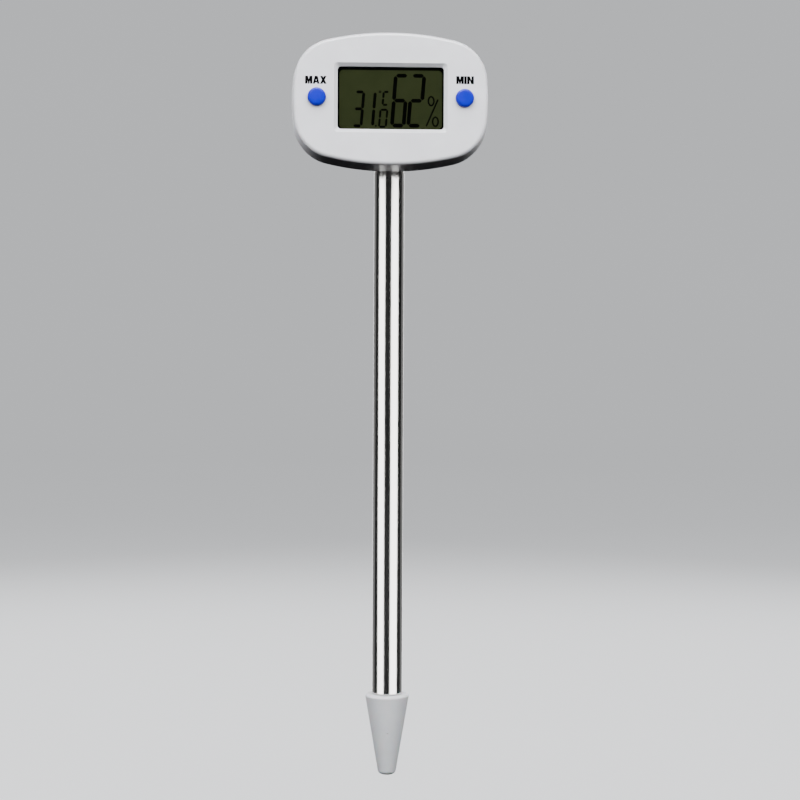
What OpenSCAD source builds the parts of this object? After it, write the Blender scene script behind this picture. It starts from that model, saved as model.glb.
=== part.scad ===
// Soil moisture meter: a display head on a steel probe tube, with a cone-shaped cap on the sensing end.
// Millimetres, real size. +Z runs up the probe tube, the display faces -Y.
// The origin is the middle of the cap's blunt end.

/* [Head] */
// height of the head's centre above the cap's blunt end
head_z = 221.5; // [210:0.5:235]
// radius of the head's four corners at the parting line
corner_r = 14.3; // [14:0.1:14.6]
// half the distance between the corners' centres, across the head
corner_x = 17.628; // [17.472:0.156:17.784]
// half the distance between the corners' centres, up the head
corner_y = 5.8; // [5.6:0.2:6]
// depth of the front cover, from its face to the parting line
front_depth = 9; // [8.9:0.1:9.1]
// depth of the rear cover, from the parting line to its back
rear_depth = 13; // [12.9:0.1:13.2]
// how far the front cover's walls lean in between the parting line and the face
taper = 0.7; // [0.4:0.1:0.9]
// wall thickness of both covers
wall = 1.6; // [1.5:0.05:1.7]
// rounding of the front cover's front edge
front_round = 1.35; // [1:0.05:1.5]
// rounding of the rear cover's back edge
rear_round = 11.5; // [10.5:0.1:11.5]

/* [Display] */
// width of the opening in the face
aperture_w = 34.4; // [33:0.1:35]
// height of the opening in the face
aperture_h = 20.1; // [19:0.1:20.5]
// width of the sloping edge around the opening
bevel = 1.15; // [0.6:0.05:1.3]
// width of the display glass
lcd_w = 37; // [36.8:0.1:37]
// height of the display glass
lcd_h = 23.4; // [23:0.1:23.4]
// thickness of the display glass
lcd_t = 2.2; // [1.8:0.1:2.2]

/* [Buttons] */
// distance of each button from the middle of the head
button_x = 23.9; // [23.8:0.05:24.2]
// diameter of each button
button_d = 5.8; // [5.2:0.1:5.8]
// how far each button stands out of the face
button_rise = 1.6; // [1:0.1:2]
// how far each button travels
button_travel = 0.5; // [0.3:0.05:0.55]

/* [Probe] */
// outside diameter of the probe tube
tube_d = 10; // [9.8:0.05:10]
// wall thickness of the probe tube
tube_wall = 0.6; // [0.5:0.05:0.6]
// diameter of the cap's rim
cap_d = 14.4; // [14.2:0.1:16]
// height of the cap
cap_h = 26.7; // [26.5:0.1:27]
// slope of the cap's side
cap_slope = 9.62; // [9.3:0.02:9.7]
// rounding of the cap's blunt end
tip_round = 2.2; // [1.8:0.1:2.3]

/* [Hidden] */
$fn = 96;
eps = 0.01;
over = 1;

// depths inside the head, counted forward from the tube's axis
part_d = 6;
face_d = part_d + front_depth;
back_d = part_d - rear_depth;
front_in_d = face_d - wall;
back_in_d = back_d + wall;
lip_h = 1.1;
lip_t = 0.75;
lip_gap = 0.1;
inner_round = 0.4;

// The head's outline is made of eight arcs. The right triangles 156-667-685 and 40-399-401 line up
// each long arc's centre with the corners' centres, so that the arcs run smoothly into each other.
top_unit = corner_x / 156;
side_unit = corner_y / 40;
top_cy = corner_y - 667 * top_unit;
top_r = 685 * top_unit + corner_r;
side_cx = corner_x - 399 * side_unit;
side_r = 401 * side_unit + corner_r;
half_h = top_cy + top_r;
half_w = side_cx + side_r;
corner_pt = [corner_x, corner_y];
top_reach = 0.038;
side_reach = 0.065;
top_pt = corner_pt + top_reach * [156, 667];
side_pt = corner_pt + side_reach * [399, 40];
stack_low = -20;
stack_h = 60;

// display stack
view_y = 0.3;
window_t = 1;
window_w = 38;
window_h = 23.6;
lcd_front_d = 12.2;
sheet_t = 0.15;
film_margin_x = 1;
film_margin_y = 0.7;
frame_t = 0.9;
frame_ledge = 1;
glass_gap = 0.05;
board_front_d = 7;
board_t = 1.2;
board_back_d = board_front_d - board_t;
board_margin = 2.3;
zebra_w = 34;
zebra_h = 2;
zebra_y = 9.6;
reflector_gap = 0.2;
board_clear = 0.1;

// parts on the board's rear side
blob_x = -16;
blob_y = 3;
blob_r = 4.2;
blob_t = 1.3;
blob_ball_r = 7.5;
blob_ball_d = 6.2;
resistor_w = 2;
resistor_h = 1.25;
resistor_t = 0.6;
resistor_x = 13;
resistor_low_y = -3;
resistor_top_y = 6;
resistor_pitch = 3;
capacitor_spots = [[-12, -6], [-9.5, -8.5]];

// buttons and switches
button_r = button_d / 2;
button_gap = 0.08;
button_edge = 0.45;
flange_r = 4;
flange_t = 1;
flange_gap = 0.1;
flange_front_d = front_in_d - flange_gap;
stem_r = 1.5;
switch_size = 6;
switch_h = 3.5;
plunger_r = 1.75;
plunger_gap = 0.08;
plunger_rise = 0.8;
plunger_sunk = 0.9;
plunger_floor = 0.15;
plunger_d = board_front_d + switch_h + plunger_rise;
plunger_back_d = plunger_d - plunger_rise - plunger_sunk;
plunger_well_d = plunger_back_d - button_travel - plunger_floor;

// screws
case_x = 22.5;
case_y = 12;
case_post_r = 2.5;
rear_post_r = 3.2;
case_shank_r = 1.05;
case_head_r = 1.9;
case_head_t = 1.3;
case_seat_d = -2.6;
case_tip_d = 10;
board_screw_x = 14;
board_screw_y = 15.9;
board_post_r = 2;
board_shank_r = 0.95;
board_head_r = 1.8;
board_head_t = 1.2;
board_tip_d = 11;
screw_gap = 0.03;
shank_clear = 0.15;
head_clear = 0.2;
pilot_room = 1;
screw_tip = 1;
drive_margin = 0.4;
drive_d = 0.6;
drive_w = 0.5;

// battery bay
bay_y = 1.5;
cell_r = 5.8;
cell_t = 5.4;
cell_front_d = 2.7;
cell_step_r = 4.3;
cell_step_t = 0.7;
bay_r = 6;
bay_out_r = 9.2;
bay_front_d = 2.3;
bay_rim_d = bay_front_d + over;
door_r = 8;
door_t = 2;
door_gap = 0.06;
door_seat_gap = 0.02;
neck_r = 6.5;
ledge_t = 1;
lug_r = 7.7;
lug_w = 4;
lug_gap = 0.05;
lug_slack = 0.6;
lug_room_r = 7.9;
lug_room_d = -2.6;
door_in_d = -2.8;
ledge_in_d = back_d + door_t + ledge_t;
unlock_angle = 45;
coin_w = 1.6;
coin_l = 11;
coin_d = 1.2;
contact_t = 0.3;
contact_w = 4;
contact_reach = 3;
contact_low_d = -2;
contact_gap = 0.05;
contact_slot_gap = 0.2;
contact_slot_y = bay_r - 0.5;
contact_slot_h = 1.1;

// probe
tube_r = tube_d / 2;
end_step = 0.2;
end_r = tube_r - end_step;
bore_r = tube_r - tube_wall;
tube_low_z = 20.2;
shoulder_gap = 0.1;
low_shoulder_z = cap_h + shoulder_gap;
top_shoulder_z = 199.3;
seat_depth = 13;
seat_over = 3;
tube_top_z = head_z - seat_depth;
hole_gap = 0.05;
clamp_y = -16.4;
clamp_w = 3.6;
clamp_x = 8.4;
clamp_r = 6.4;
clamp_ear_x = 10.6;
clamp_low_d = 0.1;
clamp_ear_d = 2.1;
clamp_post_r = 2.1;
clamp_shank_r = 0.9;
clamp_head_r = 1.65;
clamp_head_t = 1.1;
clamp_tip_d = -4;
clamp_clear = 0.1;
clamp_pilot = 0.5;
notch_w = 15;
notch_y = -12.7;

// sensing end
rim_round = 0.8;
plug_r = bore_r - 0.05;
plug_top_z = 26;
collar_r = end_r;
collar_z = 18.8;
spigot_r = 3;
spigot_z = 14;
wire_hole_r = 1.4;
wire_r = 0.28;
wire_bend_r = 0.3;
wire_ring = 0.7;
wire_bend_z = head_z - 10;
wire_low_z = 15.3;
chip_size = 3;
chip_t = 1.1;
chip_gap = 0.05;
bead_r = 0.8;
bead_y = -2.1;
bead_z = 17.2;
bead_gap = 0.1;
bead_hole_y = 1;
port_r = 0.5;
port_deep = 0.3;
wire_first = 30;
wire_step = 120;
wire_last = 270;
cap_bore_r = end_r + hole_gap;
cap_step_z = 18.7;
cap_hollow_r = 3.3;
cap_hollow_z = 9;
dimple_r = 0.33;
dimple_z = 14.2;
dimple_depth = 0.35;
cap_tan = tan(cap_slope);
cap_cos = cos(cap_slope);
rim_z = cap_h - rim_round;
rim_r = cap_d / 2;
tip_r = rim_r - (rim_z - tip_round) * cap_tan;
tip_cx = tip_r - tip_round / cap_cos;

// Head frame: x to the right, y up from the head's centre, z forward out of the face.
module head() {
    translate([0, 0, head_z])
        rotate([90, 0, 0])
            children();
}

module both_sides() {
    for (s = [-1, 1])
        translate([s * button_x, view_y, 0])
            children();
}

module corners(x, y) {
    for (sx = [-1, 1])
        for (sy = [-1, 1])
            translate([sx * x, sy * y, 0])
                children();
}

module slab(w, h, low, high) {
    translate([-w / 2, -h / 2, low])
        cube([w, h, high - low]);
}

module rod(r, low, high) {
    translate([0, 0, low])
        cylinder(h = high - low, r = r);
}

module prism(points) {
    translate([0, 0, stack_low])
        linear_extrude(height = stack_h)
            polygon(points);
}

function flip_x(p) = [-p[0], p[1]];
function flip_y(p) = [p[0], -p[1]];

// Sweeps its child, a solid turned to the radius $arc_r, round the head's outline.
module swept() {
    for (s = [0, 1])
        mirror([0, s, 0])
            intersection() {
                translate([0, top_cy, 0]) {
                    $arc_r = top_r;
                    children();
                }
                prism([corner_pt, top_pt, flip_x(top_pt), flip_x(corner_pt)]);
            }
    for (s = [0, 1])
        mirror([s, 0, 0])
            intersection() {
                translate([side_cx, 0, 0]) {
                    $arc_r = side_r;
                    children();
                }
                prism([corner_pt, side_pt, flip_y(side_pt), flip_y(corner_pt)]);
            }
    for (sx = [0, 1])
        for (sy = [0, 1])
            mirror([sx, 0, 0])
                mirror([0, sy, 0])
                    intersection() {
                        translate([corner_x, corner_y, 0]) {
                            $arc_r = corner_r;
                            children();
                        }
                        prism([corner_pt, top_pt, side_pt]);
                    }
    intersection() {
        translate([0, top_cy, 0]) {
            $arc_r = top_r * 2;
            children();
        }
        prism([corner_pt, flip_x(corner_pt), -corner_pt, flip_y(corner_pt)]);
    }
}

// A plain slice of the head's outline, brought in by inset.
module slice(inset, low, high) {
    swept()
        rod($arc_r - inset, low, high);
}

// Turned piece of the front cover's shape, with a leaning wall and a rounded front edge.
module front_turned(inset, high, edge) {
    r = $arc_r - inset;
    cy = high - edge;
    cx = r - taper - edge;
    rotate_extrude() {
        polygon([[0, part_d], [r, part_d], [cx + edge, cy], [cx, cy], [cx, high], [0, high]]);
        translate([cx, cy])
            intersection() {
                circle(r = edge);
                square(edge);
            }
    }
}

// Turned piece of the rear cover's shape, with a broadly rounded back edge.
module rear_turned(inset, low, edge) {
    r = $arc_r - inset;
    rotate_extrude() {
        translate([0, low])
            square([r - edge, part_d - low]);
        translate([r - edge - eps, low + edge])
            square([edge + eps, part_d - low - edge]);
        translate([r - edge, low + edge])
            intersection() {
                circle(r = edge);
                translate([0, -edge])
                    square(edge);
            }
    }
}

module sloping_frame() {
    wide = aperture_w + 2 * bevel;
    high = aperture_h + 2 * bevel;
    translate([0, view_y, 0])
        intersection() {
            rotate([90, 0, 0])
                translate([0, 0, -high])
                    linear_extrude(height = 2 * high)
                        polygon([[-aperture_w / 2, face_d - bevel], [aperture_w / 2, face_d - bevel],
                            [wide / 2 + over, face_d + over], [-wide / 2 - over, face_d + over]]);
            rotate([90, 0, 90])
                translate([0, 0, -wide])
                    linear_extrude(height = 2 * wide)
                        polygon([[-aperture_h / 2, face_d - bevel], [aperture_h / 2, face_d - bevel],
                            [high / 2 + over, face_d + over], [-high / 2 - over, face_d + over]]);
        }
}

module front_cover() {
    color("silver")
        head() {
            difference() {
                swept()
                    front_turned(0, face_d, front_round);
                swept()
                    front_turned(wall, front_in_d, inner_round);
                slice(wall - lip_t, part_d - eps, part_d + lip_h + lip_gap);
                translate([0, view_y, 0])
                    slab(aperture_w, aperture_h, front_in_d - over, face_d + over);
                sloping_frame();
                both_sides()
                    rod(button_r + button_gap, front_in_d - over, face_d + over);
            }
            corners(case_x, case_y)
                difference() {
                    rod(case_post_r, part_d, front_in_d + wall / 2);
                    rod(case_shank_r + screw_gap, part_d - over, case_tip_d + pilot_room);
                }
            corners(board_screw_x, board_screw_y)
                difference() {
                    rod(board_post_r, board_front_d, front_in_d + wall / 2);
                    rod(board_shank_r + screw_gap, board_front_d - over, board_tip_d + pilot_room);
                }
        }
}

module bay_hollow() {
    translate([0, bay_y, 0]) {
        rod(door_r + door_gap, back_d - over, back_d + door_t);
        rod(neck_r + door_gap, back_d, lug_room_d);
        rod(lug_room_r, ledge_in_d, lug_room_d);
        rod(bay_r, lug_room_d - eps, bay_rim_d);
        rotate([0, 0, -unlock_angle])
            intersection() {
                slab(lug_w + lug_slack, 2 * lug_room_r, back_d + door_t - eps, ledge_in_d + eps);
                rod(lug_room_r, back_d, ledge_in_d + over);
            }
        translate([-contact_w / 2 - contact_slot_gap, contact_slot_y, lug_room_d])
            cube([contact_w + 2 * contact_slot_gap, contact_slot_h, bay_rim_d - lug_room_d]);
    }
}

// Everything that stands up inside the rear cover.
module rear_inside() {
    corners(case_x, case_y)
        rod(rear_post_r, back_d, part_d + over);
    for (s = [-1, 1])
        translate([s * clamp_x, clamp_y, 0])
            rod(clamp_post_r, back_d, 0);
    translate([0, bay_y, 0])
        rod(bay_out_r, back_d, bay_front_d);
}

module rear_cover() {
    color("silver")
        head() {
            difference() {
                union() {
                    difference() {
                        swept()
                            rear_turned(0, back_d, rear_round);
                        difference() {
                            swept()
                                rear_turned(wall, back_in_d, rear_round - wall);
                            rear_inside();
                        }
                    }
                    difference() {
                        slice(wall - lip_t + lip_gap, part_d - over, part_d + lip_h);
                        slice(wall, part_d - 2 * over, part_d + lip_h + over);
                    }
                }
                corners(case_x, case_y) {
                    rod(case_shank_r + shank_clear, case_seat_d - over, part_d + over);
                    rod(case_head_r + head_clear, back_d - over, case_seat_d);
                }
                for (s = [-1, 1])
                    translate([s * clamp_x, clamp_y, 0])
                        rod(clamp_shank_r + screw_gap, clamp_tip_d - clamp_pilot, over);
                bay_hollow();
                translate([0, -half_h, 0])
                    rotate([90, 0, 0])
                        rod(end_r + hole_gap, -half_h + seat_depth, seat_over);
            }
        }
}

module display_window() {
    color("white", 0.4)
        head()
            translate([0, view_y, 0])
                slab(window_w, window_h, front_in_d - window_t, front_in_d);
}

module display_frame() {
    color("dimgray")
        head()
            translate([0, view_y, 0])
                difference() {
                    slab(lcd_w + 2 * frame_t, lcd_h + 2 * frame_t, board_front_d, lcd_front_d);
                    slab(lcd_w + 2 * glass_gap, lcd_h + 2 * glass_gap, lcd_front_d - lcd_t,
                        lcd_front_d + over);
                    slab(lcd_w - 2 * frame_ledge, lcd_h - 2 * frame_ledge, board_front_d - over,
                        lcd_front_d);
                }
}

module lcd_polariser() {
    color("darkolivegreen")
        head()
            translate([0, view_y, 0])
                slab(lcd_w - 2 * film_margin_x, lcd_h - 2 * film_margin_y, lcd_front_d,
                    lcd_front_d + sheet_t);
}

module lcd_glass() {
    color("olivedrab")
        head()
            translate([0, view_y, 0])
                slab(lcd_w, lcd_h, lcd_front_d - lcd_t, lcd_front_d);
}

module lcd_reflector() {
    color("gainsboro")
        head()
            translate([0, view_y, 0])
                slab(zebra_w, 2 * (zebra_y - reflector_gap) - zebra_h, lcd_front_d - lcd_t - sheet_t,
                    lcd_front_d - lcd_t);
}

module zebra_strips() {
    color("hotpink")
        head()
            for (s = [-1, 1])
                translate([0, view_y + s * zebra_y, 0])
                    slab(zebra_w, zebra_h, board_front_d, lcd_front_d - lcd_t);
}

module circuit_board() {
    color("darkgreen")
        head()
            difference() {
                slice(board_margin, board_back_d, board_front_d);
                corners(case_x, case_y)
                    rod(rear_post_r + board_clear, board_back_d - over, board_front_d + over);
                corners(board_screw_x, board_screw_y)
                    rod(board_shank_r + board_clear, board_back_d - over, board_front_d + over);
                translate([-notch_w / 2, notch_y - half_h, board_back_d - over])
                    cube([notch_w, half_h, board_t + 2 * over]);
            }
}

module controller_blob() {
    color("black")
        head()
            translate([blob_x, blob_y, board_back_d])
                intersection() {
                    translate([0, 0, blob_ball_d])
                        sphere(r = blob_ball_r);
                    rod(blob_r, -blob_t, 0);
                }
}

module surface_part(spot) {
    translate([spot[0], spot[1], 0])
        slab(resistor_w, resistor_h, board_back_d - resistor_t, board_back_d);
}

module board_parts() {
    color("tan")
        head() {
            for (y = [resistor_low_y : resistor_pitch : resistor_top_y])
                surface_part([resistor_x, y]);
            for (spot = capacitor_spots)
                surface_part(spot);
        }
}

module button() {
    head() {
        top = face_d + button_rise;
        rotate_extrude() {
            translate([0, flange_front_d - flange_t])
                square([button_r, top - button_edge - flange_front_d + flange_t]);
            translate([0, flange_front_d])
                square([button_r - button_edge, top - flange_front_d]);
            translate([button_r - button_edge, top - button_edge])
                intersection() {
                    circle(r = button_edge);
                    square(button_edge);
                }
        }
        rod(flange_r, flange_front_d - flange_t, flange_front_d);
        rod(stem_r, plunger_d, flange_front_d);
    }
}

module max_button() {
    color("royalblue")
        translate([-button_x, 0, view_y])
            button();
}

module min_button() {
    color("royalblue")
        translate([button_x, 0, view_y])
            button();
}

module switch_body() {
    head()
        difference() {
            slab(switch_size, switch_size, board_front_d, board_front_d + switch_h);
            rod(plunger_r + plunger_gap, plunger_well_d, board_front_d + switch_h + over);
        }
}

module max_switch_body() {
    color("dimgray")
        translate([-button_x, 0, view_y])
            switch_body();
}

module min_switch_body() {
    color("dimgray")
        translate([button_x, 0, view_y])
            switch_body();
}

module switch_plunger() {
    head()
        rod(plunger_r, plunger_back_d, plunger_d);
}

module max_switch_plunger() {
    color("black")
        translate([-button_x, 0, view_y])
            switch_plunger();
}

module min_switch_plunger() {
    color("black")
        translate([button_x, 0, view_y])
            switch_plunger();
}

module battery_cell() {
    color("lightgray")
        head()
            translate([0, bay_y, 0]) {
                rod(cell_r, cell_front_d - cell_t, cell_front_d - cell_step_t);
                rod(cell_step_r, cell_front_d - cell_step_t, cell_front_d);
            }
}

module battery_contact_negative() {
    color("gold")
        head()
            translate([0, bay_y, 0]) {
                slab(contact_w, 2 * contact_reach, board_back_d - contact_t, board_back_d);
                translate([0, contact_reach - contact_t / 2, 0])
                    slab(contact_w, contact_t, cell_front_d, board_back_d);
                slab(contact_w, 2 * contact_reach, cell_front_d, cell_front_d + contact_t);
            }
}

module battery_contact_positive() {
    color("gold")
        head()
            translate([0, bay_y + cell_r + contact_gap + contact_t / 2, 0]) {
                slab(contact_w, contact_t, contact_low_d, board_back_d);
                translate([0, (contact_reach - contact_t) / 2, 0])
                    slab(contact_w, contact_reach, board_back_d - contact_t, board_back_d);
            }
}

module battery_cover() {
    color("silver")
        head()
            translate([0, bay_y, 0])
                difference() {
                    union() {
                        rod(door_r, back_d, back_d + door_t - door_seat_gap);
                        rod(neck_r, back_d + over, door_in_d);
                        intersection() {
                            slab(lug_w, 2 * lug_r, ledge_in_d + lug_gap, door_in_d);
                            rod(lug_r, back_d, door_in_d);
                        }
                    }
                    translate([0, 0, back_d])
                        cube([coin_l, coin_w, 2 * coin_d], center = true);
                }
}

// A pan-head screw that points forward, its head's seat at zero.
module pan_screw(head_r, head_t, shank_r, length) {
    drive_l = 2 * (head_r - drive_margin);
    difference() {
        rod(head_r, -head_t, 0);
        translate([0, 0, -head_t])
            cube([drive_l, drive_w, 2 * drive_d], center = true);
        translate([0, 0, -head_t])
            cube([drive_w, drive_l, 2 * drive_d], center = true);
    }
    rod(shank_r, -eps, length - screw_tip);
    translate([0, 0, length - screw_tip])
        cylinder(h = screw_tip, r1 = shank_r, r2 = shank_r / 2);
}

module case_screws() {
    color("darkgray")
        head()
            corners(case_x, case_y)
                translate([0, 0, case_seat_d])
                    pan_screw(case_head_r, case_head_t, case_shank_r, case_tip_d - case_seat_d);
}

module board_screws() {
    color("darkgray")
        head()
            corners(board_screw_x, board_screw_y)
                translate([0, 0, board_back_d])
                    pan_screw(board_head_r, board_head_t, board_shank_r, board_tip_d - board_back_d);
}

// A saddle over the tube's top end, screwed to two posts of the rear cover.
module tube_clamp() {
    color("dimgray")
        head()
            translate([0, clamp_y + clamp_w / 2, 0])
                rotate([90, 0, 0])
                    difference() {
                        intersection() {
                            union() {
                                cylinder(h = clamp_w, r = clamp_r);
                                translate([-clamp_ear_x, clamp_low_d, 0])
                                    cube([2 * clamp_ear_x, clamp_ear_d - clamp_low_d, clamp_w]);
                            }
                            translate([-clamp_ear_x, clamp_low_d, 0])
                                cube([2 * clamp_ear_x, clamp_r, clamp_w]);
                        }
                        rod(end_r + hole_gap, -over, clamp_w + over);
                        for (s = [-1, 1])
                            translate([s * clamp_x, 0, clamp_w / 2])
                                rotate([-90, 0, 0])
                                    cylinder(h = clamp_r, r = clamp_shank_r + clamp_clear);
                    }
}

module clamp_screws() {
    color("darkgray")
        head()
            for (s = [-1, 1])
                translate([s * clamp_x, clamp_y, clamp_ear_d])
                    rotate([0, 180, 0])
                        pan_screw(clamp_head_r, clamp_head_t, clamp_shank_r, clamp_ear_d - clamp_tip_d);
}

module probe_tube() {
    color("lightsteelblue")
        difference() {
            union() {
                rod(tube_r, low_shoulder_z, top_shoulder_z);
                rod(end_r, tube_low_z, tube_top_z);
            }
            rod(bore_r, tube_low_z - over, tube_top_z + over);
        }
}

module sensor_carrier() {
    color("whitesmoke")
        difference() {
            union() {
                rod(plug_r, tube_low_z - eps, plug_top_z);
                rod(collar_r, collar_z, tube_low_z);
                rod(spigot_r, spigot_z, collar_z + eps);
            }
            rod(wire_hole_r, spigot_z - over, plug_top_z + over);
            slab(chip_size + 2 * chip_gap, chip_size + 2 * chip_gap, spigot_z - over,
                spigot_z + chip_t + chip_gap);
            translate([0, -bead_hole_y, bead_z])
                rotate([90, 0, 0])
                    cylinder(h = spigot_r, r = bead_r + bead_gap);
        }
}

module humidity_sensor() {
    color("black")
        difference() {
            slab(chip_size, chip_size, spigot_z, spigot_z + chip_t);
            rod(port_r, spigot_z - over, spigot_z + port_deep);
        }
}

module thermistor() {
    color("saddlebrown")
        translate([0, bead_y, bead_z])
            sphere(r = bead_r);
}

module sensor_wires() {
    color("crimson")
        for (a = [wire_first : wire_step : wire_last])
            rotate([0, 0, a])
                translate([wire_ring, 0, 0])
                    rotate([0, 0, -a]) {
                        rod(wire_r, wire_low_z, wire_bend_z);
                        translate([0, 0, wire_bend_z])
                            sphere(r = wire_bend_r);
                        translate([0, 0, wire_bend_z])
                            rotate([90, 0, 0])
                                rod(wire_r, 0, board_back_d + wire_ring * sin(a));
                    }
}

module tip_cap() {
    color("silver")
        difference() {
            rotate_extrude() {
                polygon([[0, 0], [tip_cx, 0], [tip_cx, tip_round],
                    [tip_cx + tip_round * cap_cos, tip_round - tip_round * sin(cap_slope)],
                    [rim_r, rim_z], [rim_r - rim_round, rim_z], [rim_r - rim_round, cap_h],
                    [0, cap_h]]);
                translate([tip_cx, tip_round])
                    intersection() {
                        circle(r = tip_round);
                        translate([0, -tip_round])
                            square(tip_round);
                    }
                translate([rim_r - rim_round, rim_z])
                    intersection() {
                        circle(r = rim_round);
                        square(rim_round);
                    }
            }
            rod(cap_bore_r, cap_step_z, cap_h + over);
            rod(cap_hollow_r, cap_hollow_z, cap_h);
            translate([0, -rim_r + (rim_z - dimple_z) * cap_tan + dimple_depth, dimple_z])
                rotate([90, 0, 0])
                    cylinder(h = over, r = dimple_r);
        }
}

front_cover();
rear_cover();
display_window();
display_frame();
lcd_polariser();
lcd_glass();
lcd_reflector();
zebra_strips();
circuit_board();
controller_blob();
board_parts();
max_button();
min_button();
max_switch_body();
min_switch_body();
max_switch_plunger();
min_switch_plunger();
battery_cell();
battery_contact_negative();
battery_contact_positive();
battery_cover();
case_screws();
board_screws();
clamp_screws();
tube_clamp();
probe_tube();
sensor_carrier();
humidity_sensor();
thermistor();
sensor_wires();
tip_cap();
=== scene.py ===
import bpy
import bmesh
import math
from mathutils import Matrix, Vector


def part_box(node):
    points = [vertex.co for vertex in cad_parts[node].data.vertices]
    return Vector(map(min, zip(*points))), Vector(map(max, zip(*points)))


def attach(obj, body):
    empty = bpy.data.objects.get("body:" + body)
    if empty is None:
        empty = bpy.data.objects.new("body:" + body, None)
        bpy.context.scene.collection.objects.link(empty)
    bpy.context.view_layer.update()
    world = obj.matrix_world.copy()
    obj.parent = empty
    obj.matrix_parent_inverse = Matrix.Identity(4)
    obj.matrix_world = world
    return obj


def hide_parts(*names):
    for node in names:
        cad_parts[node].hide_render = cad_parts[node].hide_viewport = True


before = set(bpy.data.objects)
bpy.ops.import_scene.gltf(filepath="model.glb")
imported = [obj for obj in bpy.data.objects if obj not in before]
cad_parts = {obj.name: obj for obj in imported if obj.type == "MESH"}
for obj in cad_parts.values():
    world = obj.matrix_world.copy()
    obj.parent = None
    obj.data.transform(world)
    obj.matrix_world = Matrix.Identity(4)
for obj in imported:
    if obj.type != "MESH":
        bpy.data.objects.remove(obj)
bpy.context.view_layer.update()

# Sizes in millimetres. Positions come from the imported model's boxes.
MM = 0.001
TURN = 2 * math.pi


def mm(value):
    return value * MM


def box_mm(node):
    low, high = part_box(node)
    return [v / MM for v in low], [v / MM for v in high]


shell_low, shell_high = box_mm("front_cover")
back_high = box_mm("rear_cover")[1]
window_low, window_high = box_mm("display_window")
film_low, film_high = box_mm("lcd_polariser")
max_low, max_high = box_mm("max_button")
min_low, min_high = box_mm("min_button")
lid_low, lid_high = box_mm("battery_cover")
tube_low, tube_high = box_mm("probe_tube")
cap_high = box_mm("tip_cap")[1]

HEAD_Z = (shell_low[2] + shell_high[2]) / 2
FACE = -shell_low[1]
PART = -shell_high[1]
BACK = -back_high[1]
VIEW_Z = (window_low[2] + window_high[2]) / 2

# The head's outline: eight arcs whose centres line up at each join. Each centre line is the long side of a
# right-angled triangle with whole-number sides (across, along, long side).
TOP_ACROSS, TOP_ALONG, TOP_LONG = 156, 667, 685
SIDE_ACROSS, SIDE_ALONG, SIDE_LONG = 40, 399, 401
TOP_STEP, SIDE_STEP = 0.113, 0.145
CORNER_X = 17.628
CORNER_Z = 5.8
CORNER_R = 14.3
TOP_R = TOP_LONG * TOP_STEP + CORNER_R
TOP_CZ = CORNER_Z - TOP_ALONG * TOP_STEP
SIDE_R = SIDE_LONG * SIDE_STEP + CORNER_R
SIDE_CX = CORNER_X - SIDE_ALONG * SIDE_STEP
TOP_HALF = math.atan2(TOP_ACROSS, TOP_ALONG)
SIDE_HALF = math.atan2(SIDE_ACROSS, SIDE_ALONG)
CORNER_TURN = math.pi / 2 - TOP_HALF - SIDE_HALF

WALL = 1.6
TAPER = 0.7
FRONT_ROUND = 1.35
REAR_ROUND = 11.5
PART_GROOVE = 0.18
CORNER_STEPS, SIDE_STEPS, TOP_STEPS = 22, 10, 20


def only(obj):
    bpy.ops.object.select_all(action="DESELECT")
    obj.select_set(True)
    bpy.context.view_layer.objects.active = obj


def new_piece(name, add, scale=(1, 1, 1), **where):
    """A primitive at its size and place, named, with its place in its mesh."""
    bpy.ops.object.select_all(action="DESELECT")
    add(**where)
    obj = bpy.context.object
    obj.scale = scale
    obj.name = obj.data.name = name
    bpy.ops.object.transform_apply(location=True, rotation=True, scale=True)
    return obj


def edit(obj):
    only(obj)
    bpy.ops.object.mode_set(mode="EDIT")
    bpy.context.tool_settings.mesh_select_mode = (True, False, False)


def leave():
    bpy.ops.object.mode_set(mode="OBJECT")


def everything():
    bpy.ops.mesh.select_all(action="SELECT")


def push(depth):
    """Extrudes what is selected forward, towards the face's side."""
    bpy.ops.mesh.extrude_region_move(TRANSFORM_OT_translate={"value": (0, -mm(depth), 0)})


def middle_of(low, high, axis):
    return (low[axis] + high[axis]) / 2


def pick(obj, test, kind="verts"):
    """In edit mode, selects the vertices, edges or faces whose middle passes the test."""
    mesh = bmesh.from_edit_mesh(obj.data)
    modes = {"verts": (True, False, False), "edges": (False, True, False), "faces": (False, False, True)}
    bpy.ops.mesh.select_all(action="DESELECT")
    bpy.context.tool_settings.mesh_select_mode = modes[kind]
    for part in getattr(mesh, kind):
        ends = [part] if kind == "verts" else part.verts
        middle = sum((v.co for v in ends), Vector()) / len(ends) / MM
        part.select = bool(test(middle, part))
    mesh.select_flush_mode()
    bmesh.update_edit_mesh(obj.data)


def finish_shape(obj, angle=35.0):
    """Merges doubles, points the faces outwards and shades by angle."""
    edit(obj)
    bpy.ops.mesh.select_all(action="SELECT")
    bpy.ops.mesh.remove_doubles(threshold=1e-6)
    bpy.ops.mesh.normals_make_consistent(inside=False)
    leave()
    bpy.ops.object.shade_smooth_by_angle(angle=math.radians(angle))
    return obj


def modifier(obj, kind, **settings):
    only(obj)
    made = obj.modifiers.new(kind.lower(), kind)
    for key, value in settings.items():
        setattr(made, key, value)
    bpy.ops.object.modifier_apply(modifier=made.name)


def combine(obj, tool, operation):
    modifier(obj, "BOOLEAN", object=tool, operation=operation, solver="EXACT")
    bpy.data.objects.remove(tool, do_unlink=True)


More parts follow.
